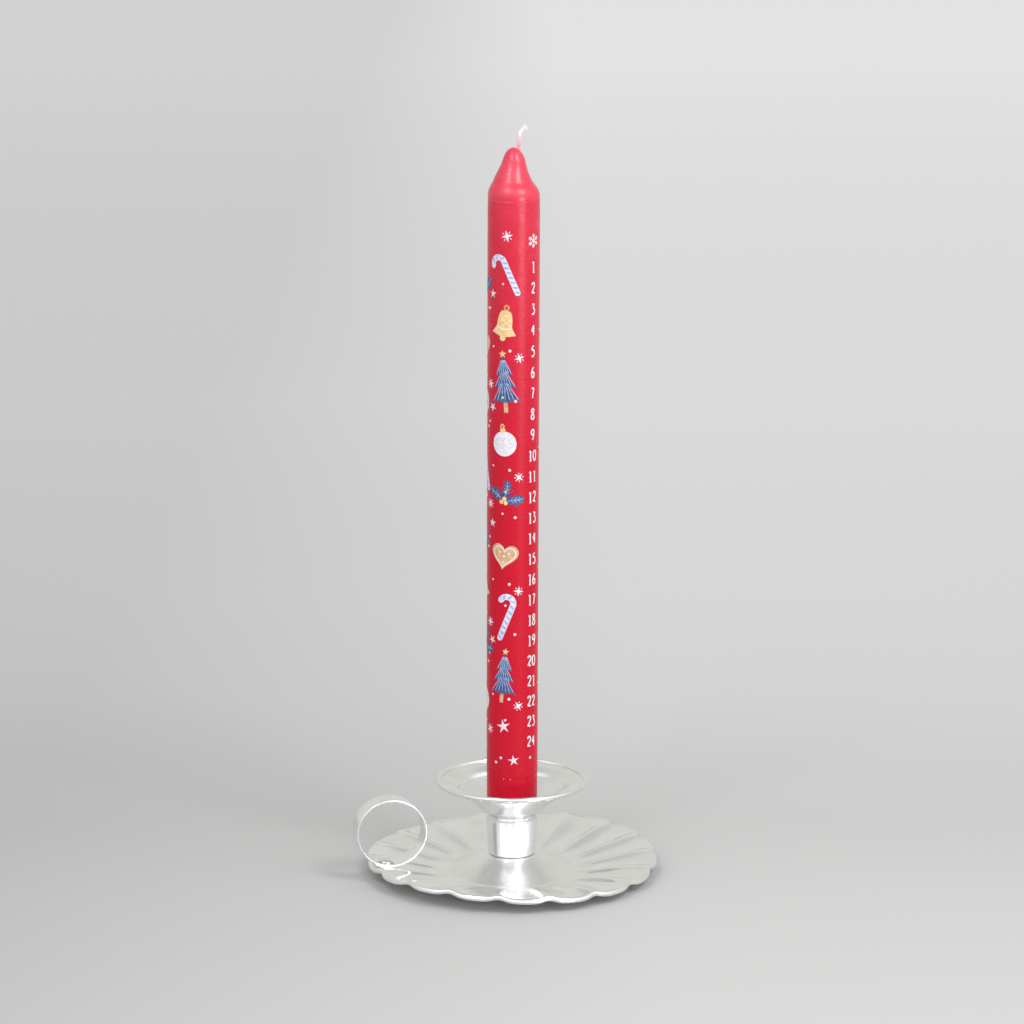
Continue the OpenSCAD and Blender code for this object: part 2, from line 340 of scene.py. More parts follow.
def wax_material(name, colour, bloom_and_top_light, roughness, shine):
    """Red wax: cloudy colour and roughness, and a skin with shallow waves. Over the upper half the
    skin shines more with the height, and a pale colour grows with the height's square, partly
    bloom and partly painted light from above."""
    material, tree, shader = new_material(name, {
        "Subsurface Weight": 0.12,
        "Subsurface Radius": (1.0, 0.25, 0.2),
        "Subsurface Scale": 0.0015,
        "IOR": 1.44,
    })
    where = object_point(tree)
    cloud = noise(tree, where, 180, 4)
    fine = noise(tree, where, 900, 3)
    high = spread(tree, split(tree, where)[2], 0, 1, TOP_LIGHT_AND_BLOOM_FROM * tip_z * MM, tip_z * MM)
    patchy = spread(tree, cloud, 0.6, 1.0, 0.35, 0.7)
    # Painted light: the colour turns paler with the height's square, as light from above, mixed with the
    # patchy bloom.
    tint = maths(tree, "MULTIPLY", patchy, maths(tree, "POWER", high, 2.0))
    put(tree, shader, {
        "Specular IOR Level": spread(tree, high, 0.3, shine, 0, 1),
        "Base Color": mixed(tree, tint, colour, bloom_and_top_light),
        "Roughness": spread(tree, fine, roughness - 0.05, roughness + 0.07),
    })
    bump(tree, shader, maths(tree, "ADD", cloud, fine), 0.00005)
    return material


# The second colour of each is bloom together with painted light from above.
wax_skin = wax_material("dyed_wax", (0.6, 0.004, 0.024), (0.76, 0.05, 0.1), 0.28, 0.8)
film_skin = wax_material("printed_film", (0.6, 0.004, 0.024), (0.76, 0.045, 0.09), 0.28, 0.45)
print("wax materials:", wax_skin.name, film_skin.name)

# %% [markdown]
# The candle's body is a spun profile: a tapered foot hidden in the cup, a long straight side, a
# rounded shoulder, a waisted cone and a blunt nose. A cast candle is never quite true, so the head
# leans a little to one side and the nose slopes down to the wick.

# %% Wax body
HEAD_H = 20.2
RIGHT = np.array([math.cos(FRONT + math.pi / 2), math.sin(FRONT + math.pi / 2)])


def wax_profile():
    """Outline of the wax from its foot to its tip, in radius and height."""
    top = np.array([0, tip_z])
    shoulder = curve(top + [wax_r, -HEAD_H], top + [wax_r, -17], top + [9.3, -15.7], top + [8.1, -13.8], 40)
    cone = curve(top + [8.1, -13.8], top + [7, -11.2], top + [5.8, -9], top + [4.95, -6], 24)
    nose = curve(top + [4.95, -6], top + [4.1, -3], top + [2.9, 0], top, 30)
    foot = [[0, foot_z], [8.3, foot_z], [8.9, foot_z + 0.6], [wax_r - 1.2, mouth_z + 1.3],
            [wax_r, mouth_z + 8]]
    side = np.stack([np.full(200, wax_r), np.linspace(mouth_z + 9, tip_z - HEAD_H - 0.5, 200)], -1)
    return np.concatenate([even(foot, 0.8), side, shoulder, cone[1:], nose[1:]])


def lean_head(points):
    """Moves the head sideways by a smooth share of its height, and slopes the nose to the right."""
    head = np.clip((points[..., 2] - tip_z + HEAD_H) / HEAD_H, 0, 1)
    moved = points.copy()
    side = -0.6 * np.sin(math.pi * np.clip(head * 1.25, 0, 1)) ** 2
    moved[..., :2] += side[..., None] * RIGHT
    to_right = points[..., :2] @ RIGHT
    moved[..., 2] -= 0.22 * np.clip(to_right, 0, None) * head**6
    return moved


points = lean_head(spun(wax_profile(), 160))
dress(solid("wax_body", points, closed=False), "candle_wax", "candle", wax_skin)

# %% [markdown]
# The print is on a thin transfer film that is wrapped round the straight side and melted on. Its
# upper edge sinks into the wax, and its lower edge shows as a fine step that wanders a little.

# %% Printed film
FILM_T = film_r - wax_r


def film_sleeve(turns=256):
    """A thin tube whose outer face sinks towards the wax over its last millimetres at both ends. Its
    lower edge wanders with the sines of the angle."""
    low, high = film_low[2], film_high[2]
    z = np.concatenate([low + np.array([0, 0.1, 0.2, 0.35, 0.6]), np.linspace(low + 1, high, 239)])
    sunk = np.clip((z - high + 6) / 6, 0, 1) ** 1.5 + 0.85 * np.clip(1 - (z - low) / 1.6, 0, 1) ** 2
    outer = np.stack([film_r - (FILM_T - 0.012) * sunk, z], -1)
    inner = np.stack([np.full(len(z), wax_r + 0.002), z[::-1]], -1)
    points = spun(np.concatenate([outer, inner]), turns)
    a = np.linspace(0, TAU, turns, endpoint=False)
    near_edge = np.clip(1 - (points[..., 2] - low) / 3, 0, 1)
    points[..., 2] += near_edge * (0.08 + 0.05 * np.sin(2 * a + 1) + 0.02 * np.sin(9 * a))
    return points


dress(solid("film_sleeve", film_sleeve()), "print_film", "candle", film_skin)

# %% [markdown]
# The print itself is made of flat shapes wrapped on the film. There are two kinds: a blob, which
# is an outline filled from its middle outwards, and a stroke, which is a line with a width. Both
# are grids of points in the flat print, where s runs to the right and z runs up, and both are
# bent round the candle by one formula.

# %% Print helpers
LAYER = 0.02
inks = {name: [] for name in ("white", "tan", "gold", "blue", "sky", "lilac", "grey")}


def round_candle(s, z, layer):
    """Wraps the flat print: the angle is s over the radius, and each layer lies a little further out."""
    a = FRONT + s / film_r
    r = film_r + LAYER * (1 + layer)
    return np.stack([r * np.cos(a), r * np.sin(a), z], -1)


def blob(outline, rings=7):
    """Grid that fills an outline, which runs anticlockwise: each ring is the outline shrunk towards
    its middle."""
    middle = outline.mean(0)
    share = np.linspace(0, 1, rings)[:, None, None]
    return middle + share * (outline - middle), True


def through(points, n=8):
    """Smooth line through points: each span is a cubic whose slopes come from its neighbours."""
    p = np.asarray(points, float)
    if len(p) < 3:
        return even(p, np.linalg.norm(p[-1] - p[0]) / 6)
    slope = np.gradient(p, axis=0)
    spans = [curve(p[i], p[i] + slope[i] / 3, p[i + 1] - slope[i + 1] / 3, p[i + 1], n)[1:]
             for i in range(len(p) - 1)]
    return np.concatenate([p[:1], *spans])


def stroke(path, width, taper=True):
    """Grid along a line, half a width to each side, with round ends if it tapers."""
    path = np.asarray(path, float)
    half = np.broadcast_to(np.asarray(width, float) / 2, len(path)).copy()
    if taper:
        length = lengths(path)
        from_end = np.minimum(length, length[-1] - length) / half.max()
        half *= np.sqrt(np.clip(1 - (1 - np.clip(from_end, 0, 1)) ** 2, 0, 1))
    across = np.array([1, 0.33, -0.33, -1])[None, :, None]
    return path[:, None, :] + across * half[:, None, None] * left_of(path)[:, None, :], False


def print_shape(ink, shape, place=(0, 0), turn=0.0, size=1.0, layer=0):
    """Turns, scales and places a flat grid, wraps it and adds it to an ink."""
    grid, closed = shape
    c, s = math.cos(math.radians(turn)), math.sin(math.radians(turn))
    flat = size * grid @ np.array([[c, s], [-s, c]]) + np.asarray(place)
    inks[ink].append((round_candle(flat[..., 0], flat[..., 1], layer), closed))


def print_ornament(ornament, place, turn=0.0, size=1.0):
    """Prints an ornament's shapes. Each comes with its ink, and may name a layer and a spin of its own."""
    for ink, shape, *more in ornament():
        layer, spin = (*more, 0, 0)[:2]
        print_shape(ink, shape, place, turn + spin, size, layer)


def polar(radius, n=64, squash=1.0):
    """Closed outline whose distance from the middle is a function of the angle."""
    a = np.linspace(0, TAU, n, endpoint=False)
    r = radius(a) if callable(radius) else radius
    return np.stack([r * np.cos(a), squash * r * np.sin(a)], -1)


def star(tips, outer, inner):
    """Star outline: straight runs between its tips and the corners between them."""
    a = math.pi / 2 + TAU * np.arange(2 * tips + 1) / (2 * tips)
    r = np.where(np.arange(2 * tips + 1) % 2 == 0, outer, inner)
    corners = np.stack([r * np.cos(a), r * np.sin(a)], -1)
    runs = [np.linspace(corners[i], corners[i + 1], 5)[:-1] for i in range(2 * tips)]
    return np.concatenate(runs)


# %% [markdown]
# The numbers stand in a column from 1 near the top to 24 near the foot, a day's burning apart.
# They look hand-drawn: narrow, with an even line and round ends. Each digit is a few strokes in a
# box that is one unit high, given by the points that its line runs through.

# %% Numbers 1 to 24
DIGIT_H = 4.35
DIGIT_LINE = 0.7
DIGIT_STEP = 2.55
NUMBER_SIDE = 9.14
NUMBER_TOP_Z = 260.4
NUMBER_STEP = 8.76
DIGITS = {
    "0": [[(0.27, 1), (0.1, 0.83), (0.06, 0.5), (0.11, 0.16), (0.27, 0), (0.42, 0.16), (0.46, 0.5),
           (0.42, 0.84), (0.27, 1)]],
    "1": [[(0.12, 0.86), (0.3, 1)], [(0.3, 1), (0.28, 0.5), (0.3, 0)], [(0.16, 0), (0.42, 0.01)]],
    "2": [[(0.08, 0.78), (0.13, 0.95), (0.28, 1), (0.42, 0.88), (0.4, 0.66), (0.24, 0.34), (0.06, 0.03)],
          [(0.06, 0.03), (0.2, 0.09), (0.46, 0)]],
    "3": [[(0.1, 0.96), (0.42, 0.98)], [(0.42, 0.98), (0.23, 0.62)],
          [(0.23, 0.62), (0.4, 0.53), (0.45, 0.28), (0.3, 0.03), (0.08, 0.08)]],
    "4": [[(0.34, 1), (0.05, 0.42)], [(0.05, 0.42), (0.48, 0.4)], [(0.35, 1), (0.34, 0.5), (0.33, 0)]],
    "5": [[(0.42, 0.98), (0.15, 0.96)], [(0.15, 0.96), (0.11, 0.58)],
          [(0.11, 0.58), (0.3, 0.63), (0.45, 0.42), (0.4, 0.12), (0.22, 0), (0.07, 0.1)]],
    "6": [[(0.37, 1), (0.17, 0.74), (0.07, 0.38), (0.12, 0.09), (0.27, 0), (0.42, 0.13), (0.43, 0.37),
           (0.29, 0.51), (0.09, 0.38)]],
    "7": [[(0.06, 0.96), (0.45, 0.98)], [(0.45, 0.98), (0.29, 0.5), (0.23, 0)]],
    "8": [[(0.26, 0.54), (0.11, 0.73), (0.15, 0.95), (0.28, 1), (0.41, 0.92), (0.4, 0.71), (0.26, 0.54),
           (0.08, 0.32), (0.09, 0.09), (0.25, 0), (0.43, 0.09), (0.44, 0.34), (0.26, 0.54)]],
    "9": [[(0.43, 0.64), (0.28, 0.5), (0.12, 0.58), (0.08, 0.8), (0.2, 0.98), (0.37, 0.97), (0.45, 0.8),
           (0.42, 0.45), (0.33, 0.18), (0.2, 0)]],
}


def print_number(number, centre_s, centre_z):
    """Prints the strokes of each digit of a number, centred on a place."""
    digits = str(number)
    for k, digit in enumerate(digits):
        left = centre_s + (k - len(digits) / 2) * DIGIT_STEP
        for line in DIGITS[digit]:
            path = through(line) * DIGIT_H + [left + 0.1, centre_z - DIGIT_H / 2]
            print_shape("white", stroke(path, DIGIT_LINE), layer=1)


for number in range(1, 25):
    print_number(number, NUMBER_SIDE, NUMBER_TOP_Z - (number - 1) * NUMBER_STEP)
print("strokes in the numbers:", len(inks["white"]))

# %% [markdown]
# Round the numbers goes a scatter of plain winter ornaments: fir trees, bells, baubles, candy
# canes, iced hearts, mittens and holly, with stars, snowflakes and dots between them. Each is a
# short function that yields its shapes about the origin, so that it can be placed and turned
# anywhere.

# %% Stars, snowflakes and dots


def print_dot(place, size):
    """Prints a round dot."""
    print_shape("white", blob(polar(size), 3), place)


def small_star():
    """A five-pointed star with slender arms."""
    yield "white", blob(star(5, 2.5, 0.8), 5)


def sparkle():
    """A four-pointed star with a short ray in each gap."""
    yield "white", blob(star(4, 2.7, 0.85), 5)
    for spin in range(0, 360, 90):
        ray = np.linspace(1.5, 2.4, 5)[:, None] * [math.sqrt(0.5), math.sqrt(0.5)]
        yield "white", stroke(ray, 0.5), 0, spin


def snowflake():
    """Six arms, each with two pairs of twigs."""
    for spin in range(0, 360, 60):
        yield "white", stroke(even([(0, 0), (0, 3.1)], 0.3), 0.5), 0, spin
        for out, twig in ((1.5, 0.9), (2.3, 0.7)):
            for side in (-1, 1):
                line = even([(0, out), (side * twig, out + twig * 0.8)], 0.2)
                yield "white", stroke(line, 0.42), 0, spin


# %% [markdown]
# The larger ornaments take more than one ink. Each begins with a filled outline in its main colour,
# and lighter lines and dots lie on it one layer further out, so that they never sink into it.

# %% Ornaments


def dots(ink, radius, sides, layer, places, rings=3):
    """Equal round dots at several places."""
    for place in places:
        yield ink, blob(polar(radius, sides) + place, rings), layer


def mirrored(side, hem):
    """Closed outline: down the left side, along the hem, and up the side's mirror image."""
    return np.concatenate([side, hem[1:], side[::-1][1:-1] * [-1, 1]])


def heart():
    """A baked heart with a piped icing line and dots."""
    t = np.linspace(0, TAU, 64, endpoint=False)
    x = 16 * np.sin(t) ** 3
    y = 13 * np.cos(t) - 5 * np.cos(2 * t) - 2 * np.cos(3 * t) - np.cos(4 * t)
    outline = np.stack([x, y + 2], -1)[::-1] * 0.33
    yield "tan", blob(outline, 9)
    yield "white", stroke(0.8 * np.concatenate([outline, outline[:1]]), 0.45, taper=False), 1
    yield from dots("white", 0.42, 16, 1, ((-1.9, 1.6), (1.9, 1.6), (0, 0.4), (0, -2)))


def fir():
    """A fir in three tiers, with lighter twigs over the dark ones, a short trunk and a star."""
    yield "tan", stroke(even([(0, -9.6), (0, -6.2)], 0.4), 1.3, taper=False)
    for low, wide, high in ((-6.6, 5.2, 1.2), (-2.4, 4.2, 4.6), (1.6, 3.1, 8.4)):
        side = through([(0, high), (-0.28 * wide, (low + high) / 2 + 0.4), (-wide, low)], 10)
        hem = through([(-wide, low), (-0.55 * wide, low + 0.7), (0, low - 0.2), (0.55 * wide, low + 0.7),
                       (wide, low)], 6)
        yield "blue", blob(mirrored(side, hem), 8)
        for lean in np.linspace(-0.8, 0.8, 7):
            twig = [(lean * 0.25 * wide, high - 1.6), (lean * 0.55 * wide, (low + high) / 2),
                    (lean * wide, low + 0.7)]
            yield "sky", stroke(through(twig), 0.26), 1
    yield "gold", blob(star(5, 1.3, 0.55) + (0, 8.6), 4), 1


def bell():
    """A bell with a flared lip, a pale band and a clapper."""
    side = through([(0, 4.2), (-1.5, 3.7), (-2.2, 1.6), (-2.5, -0.8), (-3.9, -2.9)], 8)
    lip = through([(-3.9, -2.9), (0, -3.7), (3.9, -2.9)], 10)
    yield "gold", blob(polar(0.9, 24) + (0, -4.1), 4)
    yield "gold", blob(mirrored(side, lip), 8), 1
    yield "white", stroke(through([(-2.5, -0.9), (0, -1.5), (2.5, -0.9)], 8), 0.4), 2
    yield from dots("white", 0.26, 12, 2, ((-1.1, 1.1), (0.2, 0.4), (1.3, 1.2), (0, 2.5)))
    yield "tan", stroke(through([(0, 4), (-0.7, 4.9), (0, 5.6), (0.7, 4.9), (0, 4)], 6), 0.4)


def bauble():
    """A pale ball with a cap, a thread loop, two waved bands and dots."""
    yield "white", blob(polar(4.1), 8)
    yield "gold", stroke(even([(-0.9, 4.4), (0.9, 4.4)], 0.3), 1.2, taper=False), 1
    yield "gold", stroke(through([(0, 4.9), (-0.6, 5.7), (0, 6.4), (0.6, 5.7), (0, 4.9)], 6), 0.35)
    for height in (-1.1, 1.3):
        half = math.sqrt(4.1**2 - height**2) - 0.25
        x = np.linspace(-half, half, 33)
        yield "lilac", stroke(np.stack([x, height + 0.5 * np.sin(x * 2.6)], -1), 0.5), 1
    yield from dots("gold", 0.3, 12, 1, ((-2, 0.1), (0, 0.1), (2, 0.1)))


def cane():
    """A candy cane: a hooked stick with slanting stripes."""
    hook = np.concatenate([even([(1.6, -8.5), (1.6, 4.2)], 0.3), arc((-0.6, 4.2), 2.2, 0, 200, 24)[1:]])
    yield "lilac", stroke(hook, 2.0)
    slant = 0.85 * left_of(hook) + 0.5 * ahead_of(hook)
    for k in range(4, len(hook) - 3, 6):
        yield "sky", stroke(even([hook[k] - slant[k], hook[k] + slant[k]], 0.3), 0.55), 1


def mitten():
    """A knitted mitten with a thumb, a ribbed cuff and a zigzag."""
    yield "grey", stroke(even([(-2.4, -0.6), (-4.2, 1.6)], 0.3), 2.0)
    yield "grey", blob(polar(lambda a: 3.3 + 0.5 * np.sin(a), 48, 1.25) + (0, 1.2), 8)
    yield "white", stroke(even([(-2.7, -3.6), (2.7, -3.6)], 0.3), 2.1, taper=False), 1
    for x in np.linspace(-2.2, 2.2, 6):
        yield "sky", stroke(even([(x, -4.4), (x, -2.8)], 0.3), 0.22), 2
    zigzag = through([(-2.2, 1.4), (-1.1, 2.3), (0, 1.4), (1.1, 2.3), (2.2, 1.4)], 5)
    yield "sky", stroke(zigzag, 0.35), 1


def holly():
    """Three leaves with wavy edges and pale midribs, and three gold berries."""
    u = np.linspace(0, 1, 33)
    rib = np.stack([0.35 * np.sin(math.pi * u), 0.8 + 6.6 * u], -1)
    width = 3.6 * np.sin(math.pi * u) ** 0.7 * (1 - 0.22 * np.cos(6 * math.pi * u)) + 0.05
    for spin in (-68, 4, 72):
        yield "blue", stroke(rib, width, taper=False), 0, spin
        yield "sky", stroke(rib[2:-3], 0.3), 1, spin
        for k in (8, 14, 20):
            for side in (-1, 1):
                yield "sky", stroke(even([rib[k], rib[k] + [side * 1.1, 0.8]], 0.2), 0.2), 1, spin
    yield from dots("gold", 0.75, 20, 2, ((0, 0.7), (-0.8, -0.6), (0.8, -0.6)), 4)


# %% [markdown]
# The ornaments stand in four columns round the candle, between the numbers and the seam at the
# back. Neighbouring columns are set at different heights, so that the print looks scattered. Small
# stars, sparkles and dots fill the gaps.

# %% Layout of the print
ORNAMENT_SIZE = 1.28
COLUMNS = {
    -3.8: [(cane, 257.5, 24, 0.95), (bell, 237, -8, 1.1), (fir, 213, 4, 1.05), (bauble, 187, 6, 1.0),
           (holly, 163, -14, 0.95), (heart, 139, -8, 0.9), (cane, 114, -22, 1.0), (fir, 88, -5, 0.95),
           (small_star, 66, 10, 1.0)],
    -17.4: [(holly, 250, 20, 0.92), (heart, 226, 10, 0.9), (mitten, 201, -12, 1.0), (cane, 176, 16, 1.0),
            (fir, 150, 3, 0.98), (bell, 125, 12, 1.0), (holly, 100, -30, 0.92), (bauble, 76, -6, 1.0),
            (sparkle, 56, 0, 0.9)],
    -30.6: [(fir, 262, -4, 1.0), (bauble, 237, 8, 1.0), (cane, 213, -18, 1.0), (bell, 188, -10, 1.05),
            (holly, 163, 40, 0.92), (mitten, 138, 14, 1.0), (heart, 113, -6, 0.9), (fir, 88, 5, 0.95),
            (small_star, 64, -12, 0.9)],
    22.6: [(mitten, 250, 10, 1.0), (holly, 226, -20, 0.92), (bell, 201, 8, 1.0), (fir, 176, -3, 1.0),
           (bauble, 150, 4, 1.0), (heart, 125, 12, 0.9), (cane, 100, 20, 1.0), (holly, 75, 15, 0.9),
           (sparkle, 56, 20, 0.9)],
}
SPARE_DOTS = ((-7.3, 50.0, 0.62), (-4.9, 52.2, 0.6), (8.4, 51.9, 0.6),
              (-3.6, film_low[2] + 0.35, 0.2), (-0.8, film_low[2] + 0.3, 0.22))


def fill_gaps(side, heights):
    """Small stars, sparkles and dots beside a column, halfway between its ornaments."""
    for k, (upper, lower) in enumerate(zip(heights, heights[1:])):
        middle = (upper + lower) / 2 + (-2 if k % 2 else 2)
        small = (small_star, sparkle)[k % 2]
        print_ornament(small, (side + (6.3 if k % 2 else -5.8), middle), 17 * k, 0.85)
        print_dot((side + (2.4 if k % 2 else 4.8), middle + 3.0), 0.6)
        print_dot((side - (5.4 if k % 2 else 0.6), middle + 4.4), 0.46)
        print_dot((side + (0.8 if k % 2 else -7.8), middle - 6.2), 0.52)


for side, ornaments in COLUMNS.items():
    for ornament, z, turn, size in ornaments:
        print_ornament(ornament, (side, z), turn, ORNAMENT_SIZE * size)
    fill_gaps(side, [z for _, z, _, _ in ornaments])

print_ornament(snowflake, (NUMBER_SIDE, 271.2), 0, 0.95)
print_ornament(sparkle, (-2.8, 273.4), 12, 0.95)
print_ornament(small_star, (0.6, 51.3), 8)
for side, z, size in SPARE_DOTS:
    print_dot((side, z), size)
print("shapes in each ink:", {name: len(shapes) for name, shapes in inks.items()})

# %% [markdown]
# Print ink is a matt, opaque layer that lets a little of the wax's satin through. All the shapes
# of one ink become one piece, so the print is seven thin pieces that ride with the candle.

# %% Inks
INK_COLOURS = {
    "white": ((0.86, 0.82, 0.86), (0.74, 0.66, 0.72)),
    "tan": ((0.6, 0.33, 0.17), (0.72, 0.45, 0.26)),
    "gold": ((0.76, 0.5, 0.2), (0.86, 0.66, 0.36)),
    "blue": ((0.035, 0.06, 0.16), (0.07, 0.12, 0.27)),
    "sky": ((0.2, 0.32, 0.58), (0.42, 0.52, 0.74)),
    "lilac": ((0.6, 0.6, 0.8), (0.76, 0.74, 0.88)),
    "grey": ((0.58, 0.56, 0.6), (0.7, 0.68, 0.72)),
}


def ink_material(name, colour, light):
    """Ink with a slightly uneven colour, as watercolour printed on film has."""
    material, tree, shader = new_material("ink_" + name, {"Roughness": 0.4, "IOR": 1.45})
    tint = spread(tree, noise(tree, object_point(tree), 700, 2), 0, 1, 0.35, 0.65)
    put(tree, shader, {"Base Color": mixed(tree, tint, colour, light)})
    return material


def join_shapes(shapes):
    """One array of points and one of quads for all the shapes of an ink."""
    points, quads, start = [], [], 0
    for grid, closed in shapes:
        faces = grid_faces(*grid.shape[:2], round_columns=closed) + start
        quads.append(faces[:, ::-1] if closed else faces)
        points.append(grid.reshape(-1, 3))
        start += grid.shape[0] * grid.shape[1]
    return np.concatenate(points), np.concatenate(quads)


for name, (colour, light) in INK_COLOURS.items():
    piece = new_piece("print_" + name, *join_shapes(inks[name]), weld=True)
    dress(piece, None, "candle", ink_material(name, colour, light))

# %% [markdown]
# The wick is braided cotton. Three strands each weave from side to side while the wick goes on its
# way: one swings sideways once while it swings front to back twice, and the others follow a third
# of a turn behind. Low down the cotton is soaked with red wax, and the cut end is white and frayed.

# %% Wick
WICK_ROUTE = np.array([
    [0, -12], [0.1, -10], [0.5, -7], [1.1, -4], [1.6, -1.6], [1.85, 0], [1.95, 1.5],
    [2.05, 3], [2.2, 4.6], [2.6, 6], [3.3, 7.2], [4.2, 8.1], [5.2, 8.7],
])
STRAND_R = 0.42
BRAID_STEP = 4.0
WICK_STEPS = 259
WICK_COLOURS = ((0.0, (0.72, 0.3, 0.39)), (0.5, (0.84, 0.56, 0.63)), (1.0, (0.9, 0.86, 0.86)))


def route_frame():
    """Points along the wick's route, with its direction and two sideways directions."""
    flat = even(through(WICK_ROUTE, 10), 0.01)
    flat = even(flat, lengths(flat)[-1] / WICK_STEPS)
    centre = np.stack([flat[:, 0] * RIGHT[0], flat[:, 0] * RIGHT[1], flat[:, 1] + tip_z], -1)
    ahead = ahead_of(centre)
    back = np.broadcast_to(np.array([-RIGHT[1], RIGHT[0], 0.0]), ahead.shape)
    return centre, ahead, np.cross(back, ahead), back


def tube(centre, radius, sides=10):
    """A tube round a line: each ring is square to the line, and its radius may vary along it."""
    ahead = ahead_of(centre)
    across = np.cross(ahead, [0.3, 0.9, 0.2])
    across /= np.linalg.norm(across, axis=1, keepdims=True)
    other = np.cross(across, ahead)
    a = np.linspace(0, TAU, sides, endpoint=False)[None, :, None]
    r = np.broadcast_to(np.asarray(radius, float), len(centre))[:, None, None]
    return centre[:, None] + r * (np.cos(a) * across[:, None] + np.sin(a) * other[:, None])


def braid(strand):
    """Middle line of one strand of the braid."""
    centre, _, side, back = route_frame()
    t = TAU * lengths(centre) / BRAID_STEP + strand * TAU / 3
    return centre + 0.45 * np.sin(t)[:, None] * side + 0.2 * np.sin(2 * t)[:, None] * back


def frayed_ends(count=60):
    """Single fibres that leave the cut end and spread, each bent by its own even steps."""
    centre, ahead, side, back = route_frame()
    shapes = []
    for k in range(count):
        c, s = math.cos(2.4 * k), math.sin(2.4 * k)
        start = centre[-36 + k % 22] + 0.42 * c * side[-1] + 0.36 * s * back[-1]
        out = 0.85 * c * side[-1] + 0.7 * s * back[-1]
        reach = 1.0 + ((k * 7) % 10) / 10
        t = np.linspace(0, 1, 9)[:, None]
        line = start + reach * t * ahead[-1] + reach * t * t * out
        shapes.append((tube(line, 0.055 * (1 - 0.6 * t[:, 0]), 6), True))
    return shapes


def wick_shapes():
    """The three strands, with round tips, and the fibres of the frayed end."""
    shapes = []
    for strand in range(3):
        line = braid(strand)
        line = line[: len(line) - 6 * strand]
        from_end = np.minimum(np.arange(len(line)), np.arange(len(line))[::-1]) / 6
        shapes.append((tube(line, STRAND_R * np.sqrt(np.clip(from_end, 0.0, 1)) + 1e-4, 12), True))
    return shapes + frayed_ends()


def wick_material():
    """Cotton: red where wax has soaked in, white at the end, with fine fibres along the strands."""
    material, tree, shader = new_material("waxed_cotton", {
        "Sheen Weight": 0.3,
        "Sheen Roughness": 0.5,
        "Roughness": 0.8,
        "Subsurface Weight": 0.15,
        "Subsurface Scale": 0.0006,
    })
    where = object_point(tree)
    dry = spread(tree, split(tree, where)[2], 0, 1, (tip_z - 0.4) * MM, (tip_z + 7.4) * MM)
    dry = maths(tree, "ADD", dry, spread(tree, noise(tree, where, 1400, 3), -0.25, 0.25))
    put(tree, shader, {"Base Color": ramp(tree, dry, WICK_COLOURS)})
    bump(tree, shader, noise(tree, where, 6000, 2), 0.00006)
    return material


piece = new_piece("braided_wick", *join_shapes(wick_shapes()))
dress(piece, "wick", "candle", wick_material())

# %% [markdown]
# The holder is bright aluminium sheet. It is polished but soft, so its shine is satin, with faint
# rings where it was spun, small rubbed patches, and a warm tone that comes with age. All of its
# parts share one recipe. They differ in how rough they are and how strongly the rings show, and the
# saucer's middle has been handled and wiped until it is duller than its rim.

# %% Metal
RING_DRIFT = 0.0012
MIDDLE_ENDS = (0.026, 0.034)


def metal_material(name, colour, roughness, rings, scuffs=0.05, middle=0.0):
    """Aluminium: even colour, patchy roughness, and fine rings that follow radius and height, and
    drift a little with the angle. The middle is rougher by its own amount, as far as the foot ring."""
    material, tree, shader = new_material(name, {"Metallic": 1.0})
    where = object_point(tree)
    flat = add_node(tree, "VectorMath", {0: where, 1: (1, 1, 0)}, operation="MULTIPLY").outputs[0]
    radius = add_node(tree, "VectorMath", {0: flat}, operation="LENGTH").outputs["Value"]
    x, y, z = split(tree, where)
    turn = maths(tree, "MULTIPLY", maths(tree, "ARCTAN2", y, x), RING_DRIFT)
    spin = add_node(tree, "CombineXYZ", {"X": radius, "Y": z, "Z": turn}).outputs[0]
    patch = noise(tree, where, 95, 4)
    tone = spread(tree, patch, 0, 1, 0.35, 0.7)
    patchy = spread(tree, patch, roughness - scuffs, roughness + scuffs)
    rough = maths(tree, "ADD", patchy, spread(tree, noise(tree, where, 2300, 2), -0.02, 0.03))
    put(tree, shader, {
        "Base Color": mixed(tree, tone, colour, [0.93 * c for c in colour]),
        "Roughness": maths(tree, "ADD", rough, spread(tree, radius, middle, 0, *MIDDLE_ENDS)),
    })
    waves = maths(tree, "ADD", spread(tree, noise(tree, spin, 2600, 2), 0, rings),
                  noise(tree, where, 40, 2))
    bump(tree, shader, waves, 0.00005)
    return material


sheet_metal = metal_material("satin_aluminium", (0.92, 0.925, 0.915), 0.11, 0.02, 0.02, 0.18)
spun_metal = metal_material("spun_aluminium", (0.9, 0.905, 0.895), 0.2, 0.08, 0.03)
cup_metal = metal_material("cup_aluminium", (0.92, 0.925, 0.92), 0.31, 0.08, 0.03)
band_metal = metal_material("band_aluminium", (0.92, 0.925, 0.92), 0.22, 0.02, 0.03)
rivet_metal = metal_material("rivet_aluminium", (0.9, 0.9, 0.89), 0.16, 0.05, 0.03)
print("metals:", [m.name for m in bpy.data.materials if m.name.endswith("aluminium")])

# %% [markdown]
# The cup is a drawn tube: a flat floor, a small rounded corner, a wall that opens very slightly,
# and a lip that is turned in over the pan's collar. It is one closed outline spun round the axis.

# %% Cup
SHEET_T = 0.5
FLOOR_R = 9.6
CORNER_R = 1.0
NECK_R = mouth_r - 0.1
SHANK_R = 1.6


def cup_profile():
    """Outer wall upwards, the lip, then the inner wall and floor back to the rivet's hole."""
    corner = np.array([FLOOR_R + SHEET_T - CORNER_R, seat_z + CORNER_R])
    outer = np.concatenate([[[SHANK_R, seat_z]], arc(corner, CORNER_R, -90, 0, 12),
                            [[mouth_r + SHEET_T, mouth_z]],
                            arc((NECK_R, mouth_z), SHEET_T + 0.1, 10, 84, 10)])
    inner = np.concatenate([[[NECK_R + 0.02, mouth_z + 0.55], [mouth_r, mouth_z]],
                            arc(corner, CORNER_R - SHEET_T, 0, -90, 6), [[SHANK_R, seat_z + SHEET_T]]])
    return np.concatenate([even(outer, 0.25), even(inner, 0.5)])


